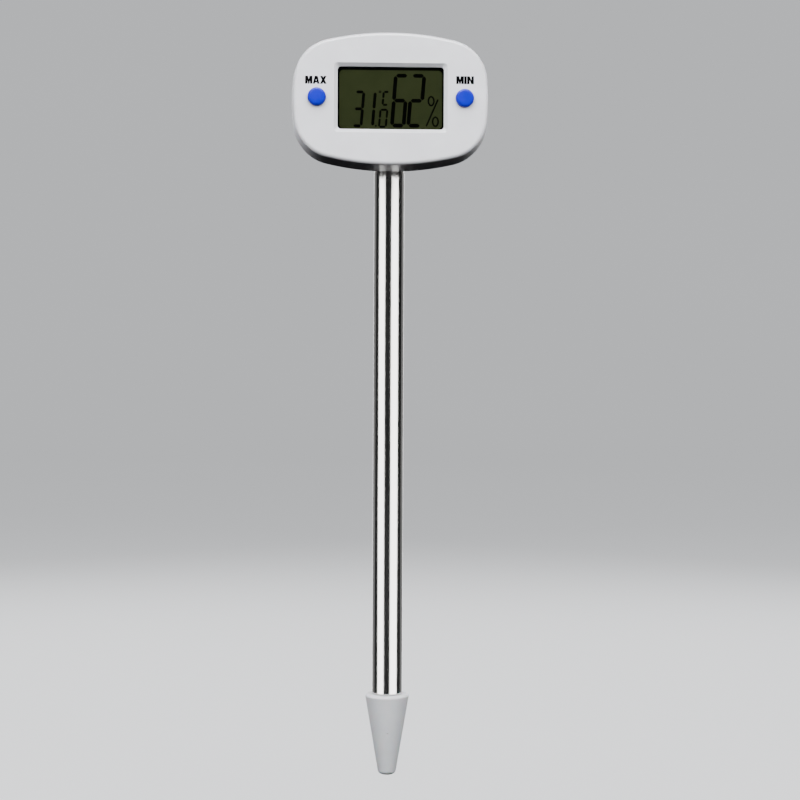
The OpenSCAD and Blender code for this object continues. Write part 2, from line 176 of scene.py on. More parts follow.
def soften(obj, width, segments=2, angle=30.0):
    """Rounds every edge sharper than the angle, as a mould or a tumble leaves it."""
    modifier(obj, "BEVEL", width=mm(width), segments=segments, limit_method="ANGLE",
             angle_limit=math.radians(angle), use_clamp_overlap=True, harden_normals=False)
    only(obj)
    bpy.ops.object.shade_smooth_by_angle(angle=math.radians(angle + 5))
    modifier(obj, "WEIGHTED_NORMAL", keep_sharp=True)


def copy_piece(obj, name, shift):
    twin = obj.copy()
    twin.data = obj.data.copy()
    twin.name = twin.data.name = name
    bpy.context.collection.objects.link(twin)
    only(twin)
    twin.location = Vector(shift) * MM
    bpy.ops.object.transform_apply(location=True, rotation=False, scale=False)
    return twin


def join(pieces, name):
    only(pieces[0])
    for obj in pieces[1:]:
        obj.select_set(True)
    bpy.ops.object.join()
    pieces[0].name = pieces[0].data.name = name
    return pieces[0]


def rounded(corners, steps=5):
    """Turns (radius, height, rounding) corners into the points of a smooth profile."""
    points = []
    for i, (r, h, fillet) in enumerate(corners):
        if not fillet:
            points.append((r, h))
            continue
        here = Vector((r, h))
        before = (Vector(corners[i - 1][:2]) - here).normalized()
        after = (Vector(corners[i + 1][:2]) - here).normalized()
        half = before.angle(after) / 2
        cut = fillet / math.tan(half)
        centre = here + (before + after).normalized() * fillet / math.sin(half)
        start, end = here + before * cut - centre, here + after * cut - centre
        sweep = start.angle(end)
        for k in range(steps + 1):
            a = sweep * k / steps
            share = (start * math.sin(sweep - a) + end * math.sin(a)) / math.sin(sweep)
            points.append(tuple(centre + share))
    return points


def block(name, centre, size):
    """A box, for trimming with or for shaping further."""
    return new_piece(name, bpy.ops.mesh.primitive_cube_add, size=1, location=Vector(centre) * MM,
                     scale=[mm(v) for v in size])


def start_chain(name, spots, size):
    """Draws spots as a chain of edges, and stays in edit mode with all of it selected."""
    obj = new_piece(name, bpy.ops.mesh.primitive_plane_add, size=mm(size), location=spots[0] * MM)
    edit(obj)
    everything()
    bpy.ops.mesh.merge(type="CENTER")
    for before, after in zip(spots, spots[1:]):
        bpy.ops.mesh.extrude_vertices_move(TRANSFORM_OT_translate={"value": (after - before) * MM})
    everything()
    return obj


def turned(name, profile, centre, axis, steps=96):
    """Draws a profile of (radius, height) points and spins it round the axis."""
    side, axis, centre = Vector((1, 0, 0)), Vector(axis), Vector(centre)
    obj = start_chain(name, [centre + side * r + axis * h for r, h in profile], 1)
    bpy.ops.mesh.spin(steps=steps, angle=TURN, center=centre * MM, axis=axis)
    leave()
    return finish_shape(obj)


def rod(name, radius, low, high, centre, axis="Y", sides=64):
    """A plain round cutter or post, closed at both ends, along an axis."""
    turn = {"X": (0, math.pi / 2, 0), "Y": (math.pi / 2, 0, 0), "Z": (0, 0, 0)}[axis]
    middle = Vector(centre)
    middle["XYZ".index(axis)] = (low + high) / 2
    return new_piece(name, bpy.ops.mesh.primitive_cylinder_add, vertices=sides, radius=mm(radius),
                     depth=mm(high - low), location=middle * MM, rotation=turn)


# ---------------------------------------------------------------- the two covers

def inset_of(v):
    """How far a point lies inside the head's outline."""
    x, z = abs(v.x), abs(v.z - HEAD_Z)
    if x * TOP_ALONG <= (z - TOP_CZ) * TOP_ACROSS + 1e-6:
        return TOP_R - math.hypot(x, z - TOP_CZ)
    if z * SIDE_ALONG <= (x - SIDE_CX) * SIDE_ACROSS + 1e-6:
        return SIDE_R - math.hypot(x - SIDE_CX, z)
    return CORNER_R - math.hypot(x - CORNER_X, z - CORNER_Z)


def draw_ring(inset, depth):
    """Spins one vertex round the head's eight arcs, clockwise as seen from the front."""
    outward = Vector((TOP_ACROSS, 0, TOP_ALONG)) / TOP_LONG
    start = Vector((CORNER_X, 0, CORNER_Z)) + outward * (CORNER_R - inset)
    spot = Vector((start.x, -depth, HEAD_Z + start.z)) * MM
    bpy.ops.mesh.select_all(action="DESELECT")
    bpy.ops.mesh.primitive_plane_add(size=mm(0.5), location=spot)
    bpy.ops.mesh.merge(type="CENTER")
    arcs = [
        (CORNER_X, CORNER_Z, CORNER_TURN, CORNER_STEPS), (SIDE_CX, 0, 2 * SIDE_HALF, SIDE_STEPS),
        (CORNER_X, -CORNER_Z, CORNER_TURN, CORNER_STEPS), (0, -TOP_CZ, 2 * TOP_HALF, TOP_STEPS),
        (-CORNER_X, -CORNER_Z, CORNER_TURN, CORNER_STEPS), (-SIDE_CX, 0, 2 * SIDE_HALF, SIDE_STEPS),
        (-CORNER_X, CORNER_Z, CORNER_TURN, CORNER_STEPS), (0, TOP_CZ, 2 * TOP_HALF, TOP_STEPS),
    ]
    for x, z, angle, steps in arcs:
        bpy.ops.mesh.spin(steps=steps, angle=-angle, center=Vector((x, -depth, HEAD_Z + z)) * MM,
                          axis=(0, 1, 0))


def loft(name, rings):
    """Bridges closed rings of (inset, depth) one after the other and closes both ends."""
    obj = new_piece(name, bpy.ops.mesh.primitive_plane_add, size=mm(1))
    edit(obj)
    bpy.ops.mesh.select_all(action="SELECT")
    bpy.ops.mesh.delete(type="VERT")
    for inset, depth in rings:
        draw_ring(inset, depth)
    everything()
    bpy.ops.mesh.remove_doubles(threshold=2e-6)

    def on(ring, v):
        return abs(v.y + ring[1]) < 0.002 and abs(inset_of(v) - ring[0]) < 0.01

    for one, two in zip(rings, rings[1:]):
        pick(obj, lambda v, e: all(on(one, w.co / MM) for w in e.verts)
             or all(on(two, w.co / MM) for w in e.verts), "edges")
        bpy.ops.mesh.bridge_edge_loops()
    for end in (rings[0], rings[-1]):
        pick(obj, lambda v, e: all(on(end, w.co / MM) for w in e.verts), "edges")
        bpy.ops.mesh.edge_face_add()
    leave()
    return finish_shape(obj)


def quarter(inset, depth, radius, toward, steps=8):
    """Rings of a rounded edge that starts on a straight wall and ends flat."""
    for k in range(steps + 1):
        a = math.pi / 2 * k / steps
        yield inset + radius * (1 - math.cos(a)), depth + toward * radius * math.sin(a)


# ---------------------------------------------------------------- finishes

def linear(code):
    """An sRGB hex colour as the linear values that a shader takes."""
    channels = [int(code[i:i + 2], 16) / 255 for i in (0, 2, 4)]
    return tuple(c / 12.92 if c <= 0.04045 else ((c + 0.055) / 1.055) ** 2.4 for c in channels) + (1.0,)


def add(mat, kind, inputs=None, **settings):
    """Adds a node: its own settings, and for its inputs either values or the sockets that feed them."""
    made = mat.node_tree.nodes.new(kind)
    for key, value in settings.items():
        setattr(made, key, value)
    for key, value in (inputs or {}).items():
        if isinstance(value, bpy.types.NodeSocket):
            mat.node_tree.links.new(value, made.inputs[key])
        else:
            made.inputs[key].default_value = value
    return made


def material(name):
    mat = bpy.data.materials.new(name)
    mat.use_nodes = True
    mat.node_tree.nodes.clear()
    return mat


def grain(mm_size):
    """Noise scale, in cycles a metre, of a grain of this many millimetres."""
    return 1 / mm(mm_size)


def finish_of(name, colours, roughness, size, bump=0.0, bump_size=None, stretch=(1, 1, 1), **principled):
    """A solid finish: two close colours and two roughnesses that drift with a grain, and a relief in millimetres."""
    mat = material(name)
    place = add(mat, "ShaderNodeTexCoord").outputs["Object"]
    lay = add(mat, "ShaderNodeMapping", {"Vector": place, "Scale": stretch}).outputs["Vector"]
    drift = add(mat, "ShaderNodeTexNoise", {"Vector": lay, "Scale": grain(size), "Detail": 3.0, "Roughness": 0.6})
    tone = add(mat, "ShaderNodeValToRGB", {"Fac": drift.outputs["Fac"]})
    tone.color_ramp.elements[0].position, tone.color_ramp.elements[1].position = 0.35, 0.65
    tone.color_ramp.elements[0].color, tone.color_ramp.elements[1].color = linear(colours[0]), linear(colours[1])
    gloss = add(mat, "ShaderNodeMapRange", {"Value": drift.outputs["Fac"], "From Min": 0.35, "From Max": 0.65,
                                            "To Min": roughness[0], "To Max": roughness[1]})
    shader = add(mat, "ShaderNodeBsdfPrincipled", dict(
        {"Base Color": tone.outputs["Color"], "Roughness": gloss.outputs["Result"]}, **principled))
    if bump:
        pits = add(mat, "ShaderNodeTexNoise", {"Vector": lay, "Scale": grain(bump_size or size), "Detail": 2.0})
        relief = add(mat, "ShaderNodeBump", {"Height": pits.outputs["Fac"], "Distance": mm(bump), "Strength": 1.0})
        mat.node_tree.links.new(relief.outputs["Normal"], shader.inputs["Normal"])
    add(mat, "ShaderNodeOutputMaterial", {"Surface": shader.outputs["BSDF"]})
    return mat


# Moulded ABS, near white: a fine matt texture from the mould, which blurs highlights, and a faint cloudiness.
abs_white = finish_of("moulded ABS, near white", ("E6E6E9", "EBEBEE"), (0.36, 0.44), 9.0, 0.006, 0.45,
                      **{"IOR": 1.53, "Subsurface Weight": 0.03, "Subsurface Scale": mm(0.4)})
# Moulded polythene: softer and waxier than the covers, a little light gets into it.
polythene = finish_of("moulded polythene, near white", ("D6D8DA", "DCDEE0"), (0.42, 0.52), 6.0, 0.006, 0.5,
                      **{"IOR": 1.51, "Subsurface Weight": 0.18, "Subsurface Scale": mm(1.2)})
# Moulded ABS, blue: smooth and half glossy, as small keys are.
abs_blue = finish_of("moulded ABS, blue", ("0209B0", "040CBA"), (0.34, 0.42), 3.0, 0.004, 0.3,
                     **{"IOR": 1.5, "Specular IOR Level": 0.25})
# Polished stainless steel tube: mirror-like, with hair-thin marks that run along it.
stainless = finish_of("polished stainless steel", ("C9C7C2", "D2D0CC"), (0.13, 0.17), 0.5, 0.0008, 0.12,
                      stretch=(1, 1, 0.012), Metallic=1.0)
# Matt olive film over the display's glass.
olive_film = finish_of("polarising film, olive", ("474E2F", "4C5333"), (0.36, 0.42), 7.0, 0.002, 0.25,
                       **{"IOR": 1.49, "Specular IOR Level": 0.2})
# Liquid crystal that is switched on: near black, with the film's low gloss.
crystal = finish_of("liquid crystal, switched on", ("040503", "070806"), (0.4, 0.5), 2.0,
                    **{"IOR": 1.5, "Specular IOR Level": 0.08})
# Pad-printed ink: flat black, a little uneven where the pad pressed.
ink = finish_of("pad printed ink, black", ("020203", "060607"), (0.45, 0.6), 0.6, 0.003, 0.15,
                **{"IOR": 1.5, "Specular IOR Level": 0.05})
# Screen-printed border inside the window, in the same flat black with less sheen behind the acrylic. It is also
# painted shade: its top band is drawn wider, standing for the shade that the aperture's top edge casts on the display.
border_ink_and_shade = finish_of("screen printed ink and painted shade, black", ("050503", "090906"), (0.5, 0.6), 1.5,
                     **{"IOR": 1.5, "Specular IOR Level": 0.08})
# The inside parts, as a repairer would find them.
dark_abs = finish_of("moulded ABS, dark grey", ("3A3B3D", "414245"), (0.4, 0.5), 4.0, 0.004, 0.3, IOR=1.53)
black_abs = finish_of("moulded nylon, black", ("161617", "1C1C1D"), (0.4, 0.5), 2.0, 0.003, 0.2, IOR=1.53)
float_glass = finish_of("display glass", ("8F9A86", "98A28F"), (0.04, 0.07), 12.0, IOR=1.52)
foil = finish_of("reflector foil", ("C3C6C4", "CED1CF"), (0.25, 0.35), 2.0, 0.002, 0.3, Metallic=1.0)
silicone = finish_of("silicone rubber, pink", ("C97F86", "D28B92"), (0.55, 0.65), 0.4, 0.01, 0.2, IOR=1.41)
solder_mask = finish_of("glass epoxy board, green solder mask", ("0F4A2B", "14573A"), (0.3, 0.4), 1.2, 0.01, 0.5,
                        IOR=1.55)
epoxy = finish_of("potting epoxy, black", ("0B0B0C", "151516"), (0.22, 0.36), 1.6, 0.02, 0.8, IOR=1.55)
ceramic = finish_of("chip ceramic, tan", ("8C6E4E", "9A7C5A"), (0.5, 0.6), 0.3, 0.003, 0.1, IOR=1.6)
zinc_steel = finish_of("zinc plated screw steel", ("A9ABAD", "BCBEC0"), (0.22, 0.36), 0.5, 0.003, 0.2, Metallic=1.0)
nickel_steel = finish_of("nickel plated cell can", ("B8B9B8", "C6C7C6"), (0.16, 0.26), 1.5, 0.003, 0.3, Metallic=1.0)
brass = finish_of("sprung brass strip", ("B08D3E", "C29E4C"), (0.22, 0.34), 0.8, 0.003, 0.2, Metallic=1.0)
carrier_white = finish_of("moulded nylon, natural", ("D9D6CB", "E2DFD5"), (0.38, 0.48), 1.5, 0.004, 0.2,
                          **{"IOR": 1.53, "Subsurface Weight": 0.15, "Subsurface Scale": mm(0.8)})
sleeve_red = finish_of("wire sleeve, PVC", ("9E1B22", "AE242B"), (0.35, 0.45), 0.8, 0.003, 0.2, IOR=1.52)
bead_epoxy = finish_of("thermistor bead, dipped epoxy", ("6A3A1E", "7A4626"), (0.2, 0.3), 0.5, 0.004, 0.3, IOR=1.55)

# Clear acrylic: only its Fresnel gloss is seen over what lies behind it.
acrylic = material("clear acrylic sheet")
spot = add(acrylic, "ShaderNodeTexCoord").outputs["Object"]
haze = add(acrylic, "ShaderNodeTexNoise", {"Vector": spot, "Scale": grain(3.0), "Detail": 2.0})
haze_gloss = add(acrylic, "ShaderNodeMapRange", {"Value": haze.outputs["Fac"], "To Min": 0.02, "To Max": 0.06})
edge = add(acrylic, "ShaderNodeFresnel", {"IOR": 1.49})
clear = add(acrylic, "ShaderNodeBsdfTransparent", {"Color": (0.95, 0.96, 0.95, 1)})
shine = add(acrylic, "ShaderNodeBsdfGlossy", {"Roughness": haze_gloss.outputs["Result"]})
both = add(acrylic, "ShaderNodeMixShader",
           {0: edge.outputs["Fac"], 1: clear.outputs["BSDF"], 2: shine.outputs["BSDF"]})
add(acrylic, "ShaderNodeOutputMaterial", {"Surface": both.outputs["Shader"]})


def paint(obj, mat):
    obj.data.materials.clear()
    obj.data.materials.append(mat)
    return obj


def settle(obj, mat, body, slot, *stands_for):
    paint(obj, mat)
    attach(obj, body)
    if stands_for:
        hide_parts(*stands_for)
    return obj


for name, finish in {
    "display_frame": dark_abs, "lcd_glass": float_glass, "lcd_reflector": foil, "zebra_strips": silicone,
    "circuit_board": solder_mask, "controller_blob": epoxy, "board_parts": ceramic, "max_switch_body": dark_abs,
    "min_switch_body": dark_abs, "max_switch_plunger": black_abs, "min_switch_plunger": black_abs,
    "battery_cell": nickel_steel, "battery_contact_negative": brass, "battery_contact_positive": brass,
    "board_screws": zinc_steel, "clamp_screws": zinc_steel, "tube_clamp": dark_abs, "sensor_carrier": carrier_white,
    "humidity_sensor": epoxy, "thermistor": bead_epoxy, "sensor_wires": sleeve_red,
}.items():
    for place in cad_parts[name].material_slots:
        place.material = finish

# ---------------------------------------------------------------- front cover

APERTURE_W, APERTURE_H, APERTURE_R = 34.4, 20.1, 1.1
APERTURE_BEVEL = 1.15
KEY_R, KEY_GAP = 2.9, 0.08
OVER = 1.0
EDGE_BREAK = 0.14
KEYS = {"max": (max_low, max_high), "min": (min_low, min_high)}

front = loft("front_shell", [(PART_GROOVE, PART), (0, PART + PART_GROOVE)]
             + list(quarter(TAPER, FACE - FRONT_ROUND, FRONT_ROUND, 1)))
combine(front, loft("front_cavity", [(WALL, PART - OVER), (WALL + TAPER, FACE - WALL)]), "DIFFERENCE")

opening = new_piece("opening", bpy.ops.mesh.primitive_plane_add, size=1,
                    location=Vector((0, -(FACE - WALL - OVER), VIEW_Z)) * MM, rotation=(math.pi / 2, 0, 0),
                    scale=(mm(APERTURE_W), mm(APERTURE_H), 1))
edit(opening)
everything()
bpy.ops.mesh.bevel(offset=mm(APERTURE_R), segments=6, affect="VERTICES")
straight = WALL + OVER - APERTURE_BEVEL
flare = APERTURE_BEVEL + OVER
push(straight)
push(flare)
bpy.ops.transform.resize(value=(1 + 2 * flare / APERTURE_W, 1, 1 + 2 * flare / APERTURE_H),
                         center_override=Vector((0, -(FACE + OVER), VIEW_Z)) * MM)
leave()
finish_shape(opening)
combine(front, opening, "DIFFERENCE")
for low, high in KEYS.values():
    spot = (middle_of(low, high, 0), 0, middle_of(low, high, 2))
    combine(front, rod("hole", KEY_R + KEY_GAP, -FACE - OVER, -FACE + WALL + OVER, spot), "DIFFERENCE")
soften(front, EDGE_BREAK, 2, 30)
settle(front, abs_white, "meter", "case_plastic", "front_cover")

# ---------------------------------------------------------------- rear cover

CASE_X, CASE_Z = 22.5, 12.0
POST_R, SCREW_HEAD_R, SHANK_HOLE_R, SCREW_SEAT = 3.2, 2.1, 1.2, -2.6
BAY_Z = middle_of(lid_low, lid_high, 2)
BAY_WALL_R, BAY_FRONT = 9.2, -2.3
LID_R, LID_T, LID_GAP = 8.0, 2.0, 0.06
# The battery bay, as (radius, front, back) cuts: the cover's seat, the cell's rim, the lugs' track, the cell.
BAY_CUTS = [(LID_R + LID_GAP, -BACK - LID_T, -BACK + 2), (6.56, 2.5, 6.0), (7.9, 2.6, 4.0), (6.0, -3.0, 3.0)]
TUBE_HOLE_R, TUBE_HOLE_LOW, TUBE_HOLE_TOP = 4.85, HEAD_Z - 26, HEAD_Z - 9.1
inner_round = REAR_ROUND - WALL
round_start = BACK + REAR_ROUND

rear = loft("rear_shell", [(PART_GROOVE, PART), (0, PART - PART_GROOVE)]
            + list(quarter(0, round_start, REAR_ROUND, -1, 14)))
cavity = loft("cavity", [(WALL, PART + OVER), (WALL, PART)] + list(quarter(WALL, round_start, inner_round, -1, 12)))
corners = [(sx * CASE_X, sz * CASE_Z) for sx in (-1, 1) for sz in (-1, 1)]
for x, z in corners:
    combine(cavity, rod("post", POST_R, -PART - 2, -BACK + 1, (x, 0, HEAD_Z + z)), "DIFFERENCE")
combine(cavity, rod("bay", BAY_WALL_R, BAY_FRONT, -BACK + 1, (0, 0, BAY_Z)), "DIFFERENCE")
combine(rear, cavity, "DIFFERENCE")
for x, z in corners:
    spot = (x, 0, HEAD_Z + z)
    combine(rear, rod("counterbore", SCREW_HEAD_R, -SCREW_SEAT, -BACK + 2, spot), "DIFFERENCE")
    combine(rear, rod("shank_hole", SHANK_HOLE_R, -PART - 2, -SCREW_SEAT + 1, spot, sides=32), "DIFFERENCE")
for radius, low, high in BAY_CUTS:
    combine(rear, rod("bay_cut", radius, low, high, (0, 0, BAY_Z)), "DIFFERENCE")
combine(rear, rod("tube_hole", TUBE_HOLE_R, TUBE_HOLE_LOW, TUBE_HOLE_TOP, (0, 0, 0), axis="Z", sides=96), "DIFFERENCE")
soften(rear, EDGE_BREAK, 2, 30)
settle(rear, abs_white, "meter", "case_plastic", "rear_cover")

# ---------------------------------------------------------------- keys

STEM_R, FLANGE_R, CROWN_R, CROWN_DROP = 1.5, 4.0, 1.5, 0.06


def key(name, low, high):
    """A key with a slightly crowned top, a flange behind the face and a stem down to its switch."""
    top, back = -low[1], -high[1]
    flange = FACE - WALL - 0.1
    shape = rounded([
        (0, back, 0), (STEM_R, back, 0.15), (STEM_R, flange - 1, 0), (FLANGE_R, flange - 1, 0.15),
        (FLANGE_R, flange, 0.15), (KEY_R, flange, 0.1), (KEY_R, top - CROWN_DROP, 0.75), (CROWN_R, top, 0.6),
        (0, top, 0)])
    return turned(name, shape, (middle_of(low, high, 0), 0, middle_of(low, high, 2)), (0, -1, 0), 72)


for which, (low, high) in KEYS.items():
    settle(key(which + "_key_cap", low, high), abs_blue, which + "_key", "button_plastic", which + "_button")

# ---------------------------------------------------------------- battery cover and case screws

LID_SPIGOT_R, LID_SEAT = 6.5, BACK + LID_T - 0.02
lid = turned("battery_lid", rounded([
    (0, -lid_low[1], 0), (LID_SPIGOT_R, -lid_low[1], 0.2), (LID_SPIGOT_R, LID_SEAT, 0), (LID_R, LID_SEAT, 0.1),
    (LID_R, BACK, 0.35), (0, BACK, 0)]), (0, 0, BAY_Z), (0, -1, 0), 128)
combine(lid, block("coin_slot", (0, -BACK, BAY_Z), (11, 2.4, 1.6)), "DIFFERENCE")
combine(lid, block("lug", (0, 3.4, BAY_Z), (4, 1.1, 15.4)), "UNION")
soften(lid, 0.12, 2, 40)
settle(lid, abs_white, "battery_door", "case_plastic", "battery_cover")

SCREW_TIP, SCREW_CROWN, SHANK_R, PAN_R, PAN_TOP_R = 10.0, 1.3, 1.05, 1.9, 1.3
RECESS_LONG, RECESS_WIDE, RECESS_DEEP, RECESS_TAPER = 2.0, 0.5, 0.75, 0.55


def cross_screw(name, x, z):
    """A pan-head screw with a cross recess, drawn pointing forward from its seat."""
    top = SCREW_SEAT - SCREW_CROWN
    shape = rounded([
        (0, top, 0), (PAN_TOP_R, top, 0), (PAN_R, SCREW_SEAT - 0.9, 0.3), (PAN_R, SCREW_SEAT, 0.1),
        (SHANK_R, SCREW_SEAT, 0), (SHANK_R, SCREW_TIP - 1, 0), (0.5, SCREW_TIP, 0.1), (0, SCREW_TIP, 0)], 4)
    made = turned(name, shape, (x, 0, z), (0, -1, 0), 40)
    for w, h in ((RECESS_LONG, RECESS_WIDE), (RECESS_WIDE, RECESS_LONG)):
        cut = block("recess", (x, -top, z), (w, 2 * RECESS_DEEP, h))
        edit(cut)
        pick(cut, lambda v, f: v.y < -top, "faces")
        bpy.ops.transform.resize(value=(RECESS_TAPER, 1, RECESS_TAPER),
                                 center_override=Vector((x, -(top + RECESS_DEEP), z)) * MM)
        leave()
        combine(made, cut, "DIFFERENCE")
    return made


first = cross_screw("case_screw_set", CASE_X, HEAD_Z + CASE_Z)
others = [copy_piece(first, "screw_copy", shift)
          for shift in ((-2 * CASE_X, 0, 0), (0, 0, -2 * CASE_Z), (-2 * CASE_X, 0, -2 * CASE_Z))]
screws = join([first] + others, "case_screw_set")
soften(screws, 0.05, 2, 35)
settle(screws, zinc_steel, "meter", "screw_steel", "case_screws")

# ---------------------------------------------------------------- probe tube and tip cap

SHOULDER_LOW, SHOULDER_TOP = 26.8, 199.3
TUBE_R, TUBE_END_R, TUBE_BORE_R = 5.0, 4.8, 4.4
tube = turned("steel_tube", rounded([
    (TUBE_BORE_R, tube_low[2], 0), (TUBE_END_R, tube_low[2], 0.12), (TUBE_END_R, SHOULDER_LOW, 0),
    (TUBE_R, SHOULDER_LOW, 0.08), (TUBE_R, SHOULDER_TOP, 0.08), (TUBE_END_R, SHOULDER_TOP, 0),
    (TUBE_END_R, tube_high[2], 0.12), (TUBE_BORE_R, tube_high[2], 0.12), (TUBE_BORE_R, tube_low[2], 0)]),
    (0, 0, 0), (0, 0, 1), 160)
settle(tube, stainless, "meter", "steel", "probe_tube")

CAP_R, CAP_H, CAP_RIM_Z, CAP_SLOPE = 7.2, cap_high[2], 25.9, math.tan(math.radians(9.62))
CAP_BORE_R, CAP_BORE_Z, CAP_WELL_R, CAP_WELL_Z = 4.85, 18.7, 3.3, 9.0
DENT_R, DENT_Z, DENT_OUT = 0.36, 14.2, 0.05
tip_edge = CAP_R - CAP_RIM_Z * CAP_SLOPE
cap = turned("cone_cap", rounded([
    (0, 0, 0), (tip_edge, 0, 1.62), (CAP_R, CAP_RIM_Z, 0.3), (CAP_R - 0.02, CAP_H, 0.75), (CAP_BORE_R, CAP_H, 0.15),
    (CAP_BORE_R, CAP_BORE_Z, 0.1), (CAP_WELL_R, CAP_BORE_Z, 0.1), (CAP_WELL_R, CAP_WELL_Z, 0.5), (0, CAP_WELL_Z, 0)],
    8), (0, 0, 0), (0, 0, 1), 128)
dent_y = -(CAP_R - (CAP_RIM_Z - DENT_Z) * CAP_SLOPE)
dent = new_piece("dent", bpy.ops.mesh.primitive_uv_sphere_add, segments=24, ring_count=12, radius=mm(DENT_R),
                 location=Vector((0, dent_y - DENT_OUT, DENT_Z)) * MM)
combine(cap, dent, "DIFFERENCE")
only(cap)
bpy.ops.object.shade_smooth_by_angle(angle=math.radians(40))
settle(cap, polythene, "cap", "cap_plastic", "tip_cap")

# ---------------------------------------------------------------- window and display

def box_over(name, low, high, gap=0.0):
    """A box over a node's own box, at the window's height and thinner by a gap."""
    across, deep, tall = (high[i] - low[i] for i in range(3))
    return block(name, (0, middle_of(low, high, 1), VIEW_Z), (across, deep - gap, tall))


window = box_over("clear_window", window_low, window_high, 0.02)
soften(window, 0.08, 2, 30)
settle(window, acrylic, "meter", "clear_plastic", "display_window")

FILM_FRONT = -film_low[1]
sheet = box_over("display_film", film_low, film_high)
soften(sheet, 0.03, 1, 30)
settle(sheet, olive_film, "meter", "polariser_film", "lcd_polariser")

# Painted shade: the border's clear area sits 0.2 mm low, so the black band along the top is wider than the one at the
# bottom and stands in for the shade under the aperture's top edge.
MASK_W, MASK_H, MASK_T, MASK_GAP = 37.0, 23.0, 0.012, 0.03
CLEAR_W, CLEAR_H, CLEAR_R, CLEAR_X, SHADE_BAND_DROP = 33.4, 19.0, 1.3, 0.04, 0.2
mask_y = -(FILM_FRONT + MASK_GAP)
border_and_shade = block("window_border", (0, mask_y, VIEW_Z), (MASK_W, MASK_T, MASK_H))
hole = block("border_hole", (CLEAR_X, mask_y, VIEW_Z - SHADE_BAND_DROP), (CLEAR_W, 1, CLEAR_H))
edit(hole)
pick(hole, lambda v, e: abs(e.verts[0].co.y - e.verts[1].co.y) > mm(0.5), "edges")
bpy.ops.mesh.bevel(offset=mm(CLEAR_R), segments=6)
leave()
combine(border_and_shade, hole, "DIFFERENCE")
settle(border_and_shade, border_ink_and_shade, "meter", "dark_plastic")

GLYPH_T = 0.01
GLYPH_BACK = FILM_FRONT + 0.002
TIP_CUT, END_GAP = 0.42, 0.36

# The segments of a figure: a at the top, then clockwise to f, and g across the middle, as (across, up) ends.
SEGMENTS = {"a": ((0, 1), (1, 1)), "b": ((1, 1), (1, 0.5)), "c": ((1, 0.5), (1, 0)), "d": ((0, 0), (1, 0)),
            "e": ((0, 0), (0, 0.5)), "f": ((0, 0.5), (0, 1)), "g": ((0, 0.5), (1, 0.5))}
LIT = {"0": "abcdef", "1": "bc", "2": "abdeg", "3": "abcdg", "6": "acdefg", "C": "adef"}
# Figures from the display's centre: left, foot, width, height, lean and stroke.
FIGURES = [("6", 0.45, -8.6, 3.8, 16.15, 0.075, 1.2), ("2", 5.75, -8.6, 3.85, 16.15, 0.08, 1.2),
           ("3", -12.15, -8.8, 2.6, 10.95, 0.08, 0.9), ("1", -8.45, -8.8, 2.6, 10.95, 0.08, 0.95),
           ("C", -2.6, -1.95, 1.65, 4.2, 0.09, 0.65), ("0", -3.75, -9.05, 2.2, 5.5, 0.09, 0.65)]
POINT = (-4.95, -8.8), (-4.55, -8.8), 0.55
PER_CENT = (15.35, -0.1), (11.6, -8.75), 0.5
# The degree ring and the per cent sign's two: centre, half width, half height and stroke.
RINGS = [(-3.45, 2.25, 0.4, 0.4, 0.25), (13.15, -0.6, 1.15, 1.7, 0.5), (14.55, -7.25, 1.15, 1.7, 0.5)]


def bar(start, end, stroke):
    """A display segment: a bar with pointed ends."""
    run = Vector(end) - Vector(start)
    middle = (Vector(start) + Vector(end)) / 2
    made = new_piece("bar", bpy.ops.mesh.primitive_plane_add, size=1,
                     rotation=(math.pi / 2, -math.atan2(run.y, run.x), 0),
                     location=Vector((middle.x, -GLYPH_BACK, VIEW_Z + middle.y)) * MM,
                     scale=(mm(run.length + stroke * 0.4), mm(stroke), 1))
    edit(made)
    everything()
    bpy.ops.mesh.bevel(offset=mm(stroke) * TIP_CUT, segments=1, affect="VERTICES")
    everything()
    push(GLYPH_T)
    leave()
    return finish_shape(made)


def figure(which, left, foot, width, height, lean, stroke):
    """The bars of one figure, each drawn short of the corners by the same gap."""
    def spot(across, up):
        return Vector((left + across * width + lean * up * height, foot + up * height))

    for segment in LIT[which]:
        start, end = (spot(*place) for place in SEGMENTS[segment])
        short = (end - start).normalized() * END_GAP * stroke
        yield bar(start + short, end - short, stroke)


def oval(x, z, half_wide, half_tall, stroke):
    made = new_piece("oval", bpy.ops.mesh.primitive_circle_add, vertices=40, radius=1, fill_type="NGON",
                     location=Vector((x, -GLYPH_BACK, VIEW_Z + z)) * MM, rotation=(math.pi / 2, 0, 0),
                     scale=(mm(half_wide), mm(half_tall), 1))
    edit(made)
    everything()
    bpy.ops.mesh.inset(thickness=mm(stroke), depth=0)
    bpy.ops.mesh.delete(type="FACE")
    everything()
    push(GLYPH_T)
    leave()
    return finish_shape(made)


glyphs = [made for row in FIGURES for made in figure(*row)] + [bar(*POINT), bar(*PER_CENT)]
characters = join(glyphs + [oval(*row) for row in RINGS], "display_characters")
settle(characters, crystal, "meter", "dark_plastic")

# ---------------------------------------------------------------- printed words on the face

